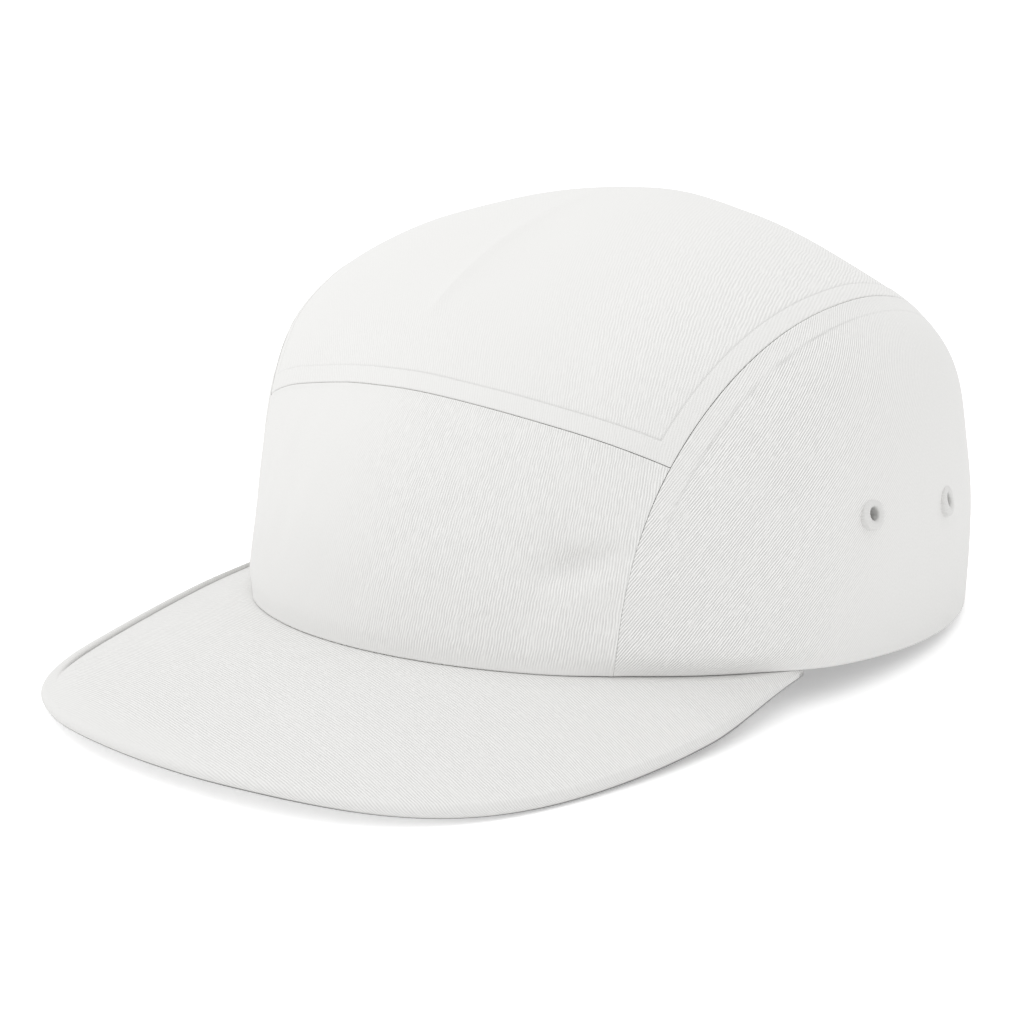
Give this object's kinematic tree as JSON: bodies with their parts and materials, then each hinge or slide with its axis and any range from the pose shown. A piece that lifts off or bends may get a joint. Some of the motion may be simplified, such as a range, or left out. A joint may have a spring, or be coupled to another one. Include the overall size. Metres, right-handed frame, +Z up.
{
  "type": "five panel cap",
  "caption": "Soft panelled cap with arched side seams, a cross seam above a stiff curved peak, and sewn vent eyelets.",
  "frame": {"origin": "on the table under the middle of the cap's outer box, as the cap stands by itself", "axes": "+Z up, -Y to the front where the peak points, +X to the wearer's left"},
  "size_m": [0.1774, 0.2556, 0.1059],
  "materials": {
    "panel_twill": "matt white cotton twill",
    "peak_twill": "matt white cotton twill over a stiff board",
    "eyelet_thread": "close-sewn white thread with a slight sheen"
  },
  "bodies": {
    "root": {"front_panel": "panel_twill", "top_panel": "panel_twill", "back_panel": "panel_twill", "side_panel_left": "panel_twill", "side_panel_right": "panel_twill", "peak": "peak_twill", "eyelet_left_front": "eyelet_thread", "eyelet_left_back": "eyelet_thread", "eyelet_right_front": "eyelet_thread", "eyelet_right_back": "eyelet_thread"}
  },
  "joints": []
}
